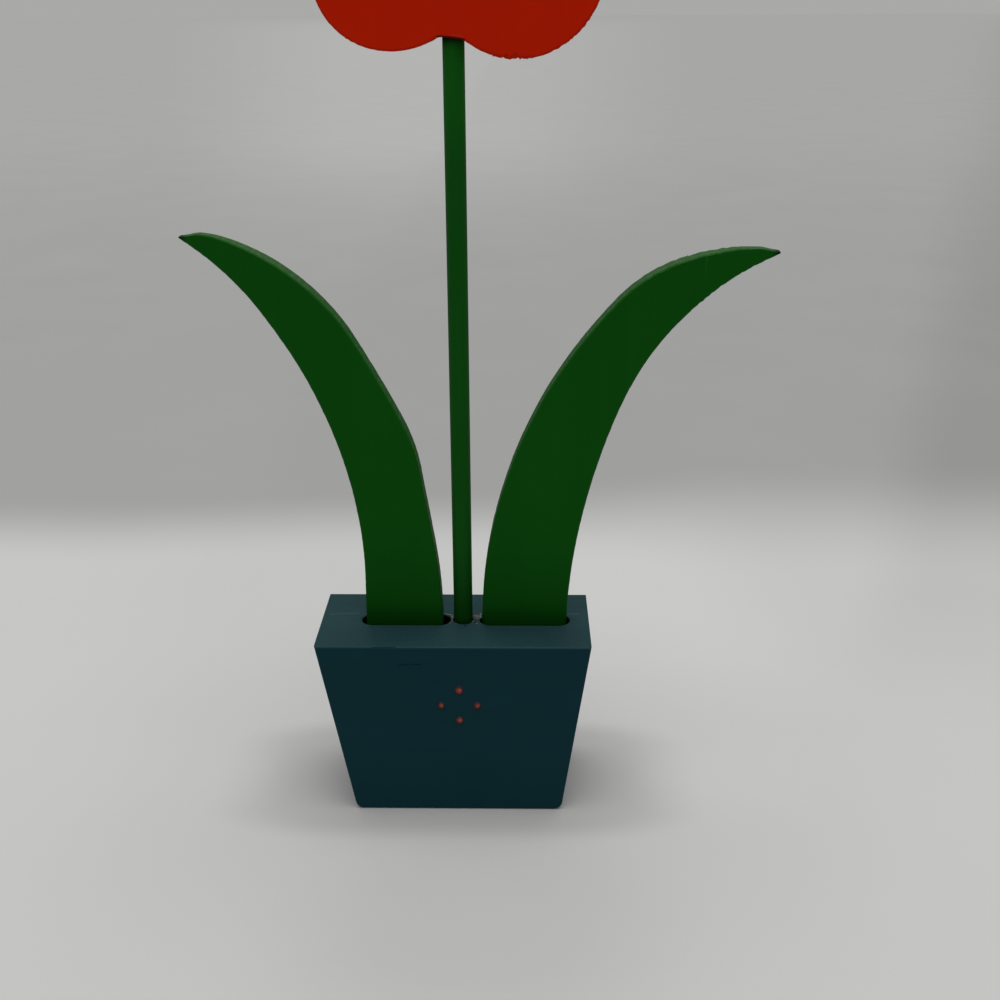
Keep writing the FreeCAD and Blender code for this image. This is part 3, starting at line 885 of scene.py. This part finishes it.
def makeFloor():
    look = floorLook
    half = look["size"] / 2
    corners = [(-half, -half, 0), (half, -half, 0), (half, half, 0), (-half, half, 0)]
    mesh = bpy.data.meshes.new("floor")
    mesh.from_pydata(corners, [], [(0, 1, 2, 3)])
    floor = bpy.data.objects.new("floor", mesh)
    bpy.context.collection.objects.link(floor)
    material, tree = newMaterial("paleFloor")
    tree.nodes.remove(tree.nodes["Principled BSDF"])
    place = addNode(tree, "ShaderNodeTexCoord").outputs["Object"]
    split = separate(tree, place)
    x, y = split["X"], split["Y"]

    # painted light falloff: paler at the object, darker behind it, a little paler again far off
    aside = maths(tree, "MULTIPLY", maths(tree, "ABSOLUTE", x), look["sideways"])
    away = maths(tree, "MAXIMUM", maths(tree, "ABSOLUTE", y), aside)
    right = fade(tree, x, *look["right"])
    left = fade(tree, x, *look["left"], 0.0, look["leftShift"])
    nearer, further = look["rightSpread"]
    start = maths(tree, "SUBTRACT", look["behindFade"][0], maths(tree, "MULTIPLY_ADD", right, nearer, left))
    end = maths(tree, "ADD", look["behindFade"][1],
                maths(tree, "SUBTRACT", maths(tree, "MULTIPLY", right, further), left))
    dimmed = fade(tree, away, start, end, look["near"], look["middle"])
    lift = fade(tree, away, *look["farFade"], 0.0, look["far"] - look["middle"])

    # a glow in the middle of the backdrop and a dimmer right edge, both gone before the floor ends
    direction = maths(tree, "DIVIDE", x, maths(tree, "ADD", y, look["front"]))
    beside = maths(tree, "ABSOLUTE", maths(tree, "SUBTRACT", direction, look["glowPlace"]))
    behind = fade(tree, y, *look["behind"])
    shown = fade(tree, away, *look["vanish"], 1.0, 0.0)
    glowing = product(tree, fade(tree, away, *look["glowStart"]), shown, behind)
    glow = fade(tree, beside, *look["glowReach"], look["glow"], 0.0)
    edge = product(tree, behind, fade(tree, direction, *look["edge"], 0.0, look["edgeDim"]), shown)
    lift = maths(tree, "SUBTRACT", maths(tree, "MULTIPLY_ADD", glow, glowing, lift), edge)
    cloud = addNoise(tree, place, look["mottlesPerMetre"], 3.0)[0]
    tone = maths(tree, "ADD", maths(tree, "ADD", dimmed, lift),
                 maths(tree, "MULTIPLY_ADD", cloud, look["mottle"], -look["mottle"] / 2))

    def gapShare(coordinate, middle, halfSize, reach):
        # how far a spot lies outside a patch one way, as a share of its reach
        gap = maths(tree, "ABSOLUTE", maths(tree, "SUBTRACT", coordinate, middle))
        gap = maths(tree, "MAXIMUM", maths(tree, "SUBTRACT", gap, halfSize), 0.0)
        return maths(tree, "DIVIDE", gap, reach)

    # paints these shadows and this pool of light into the floor's tone
    for middle, halfSize, reach, fadeFrom, gain in floorPaintedShadowsAndLight:
        gaps = [gapShare(way, *sizes) for way, *sizes in zip((x, y), middle, halfSize, reach)]
        squares = [maths(tree, "MULTIPLY", gap, gap) for gap in gaps]
        out = maths(tree, "SQRT", maths(tree, "ADD", *squares))
        tone = maths(tree, "MULTIPLY", tone, fade(tree, out, *fadeFrom, 1 + gain, 1.0))
    # painted light: the floor a little paler far out on the left
    tone = maths(tree, "MULTIPLY", tone, fade(tree, x, *look["outerLeft"], 1.0, 1 + look["leftGain"]))
    colour = addNode(tree, "ShaderNodeCombineColor",
                     {"Red": tone, "Green": tone, "Blue": maths(tree, "MULTIPLY", tone, look["blue"])})
    diffuse = addNode(tree, "ShaderNodeBsdfDiffuse", {"Color": colour.outputs[0]})
    tree.links.new(diffuse.outputs[0], tree.nodes["Material Output"].inputs["Surface"])
    floor.data.materials.append(material)


makeFloor()
print("floor laid")

# light: a soft ceiling, a soft front and an even surround
lightLook = {
    "surround": 0.48, "backdrop": 0.40, "backdropTint": (1, 1, 0.985, 1),
    "ceiling": 0.86, "ceilingAngle": 48.0, "ceilingTilt": (0.0, 0.0),      # degrees
    "front": 0.06, "frontAngle": 60.0, "frontTilt": (80.0, -6.0),
}


def makeSun(name):
    sun = bpy.data.lights.new(name, "SUN")
    sun.energy = lightLook[name] * math.pi
    sun.angle = math.radians(lightLook[name + "Angle"])
    tilt, turn = lightLook[name + "Tilt"]
    lamp = bpy.data.objects.new(name, sun)
    lamp.rotation_euler = (math.radians(tilt), 0, math.radians(turn))
    bpy.context.collection.objects.link(lamp)


def makeWorld():
    # the eye and gloss see the pale backdrop, everything else gets the even surround
    world = bpy.data.worlds.new("surround")
    bpy.context.scene.world = world
    world.use_nodes = True
    tree = world.node_tree
    tree.nodes.clear()
    rays = addNode(tree, "ShaderNodeLightPath").outputs
    seen = maths(tree, "MAXIMUM", rays["Is Camera Ray"], rays["Is Glossy Ray"])
    seen = maths(tree, "MAXIMUM", seen, rays["Is Transmission Ray"])
    light = addNode(tree, "ShaderNodeBackground", {"Color": (1, 1, 1, 1), "Strength": lightLook["surround"]})
    backdrop = addNode(tree, "ShaderNodeBackground",
                       {"Color": lightLook["backdropTint"], "Strength": lightLook["backdrop"]})
    mix = addNode(tree, "ShaderNodeMixShader", {0: seen, 1: light.outputs[0], 2: backdrop.outputs[0]})
    out = addNode(tree, "ShaderNodeOutputWorld")
    tree.links.new(mix.outputs[0], out.inputs["Surface"])


makeSun("ceiling")
makeSun("front")
makeWorld()
print("lights set")

# camera, where the photograph was taken from
cameraLook = {
    "place": (21.2 * mm, -357.0 * mm, 251.0 * mm), "lens": 43.39, "sensor": 36.0, "nearest": 0.01,
    "down": 22.214, "turn": 0.982, "roll": -0.250,      # degrees
}


def makeCamera():
    data = bpy.data.cameras.new("camera")
    data.lens = cameraLook["lens"]
    data.sensor_width = cameraLook["sensor"]
    data.clip_start = cameraLook["nearest"]
    camera = bpy.data.objects.new("camera", data)
    turn = Matrix.Rotation(math.radians(cameraLook["turn"]), 4, "Z")
    down = Matrix.Rotation(math.radians(90 - cameraLook["down"]), 4, "X")
    roll = Matrix.Rotation(math.radians(cameraLook["roll"]), 4, "Z")
    camera.matrix_world = Matrix.Translation(cameraLook["place"]) @ turn @ down @ roll
    bpy.context.collection.objects.link(camera)
    bpy.context.scene.camera = camera


makeCamera()
bpy.context.scene.view_settings.view_transform = "Standard"
print("camera set")
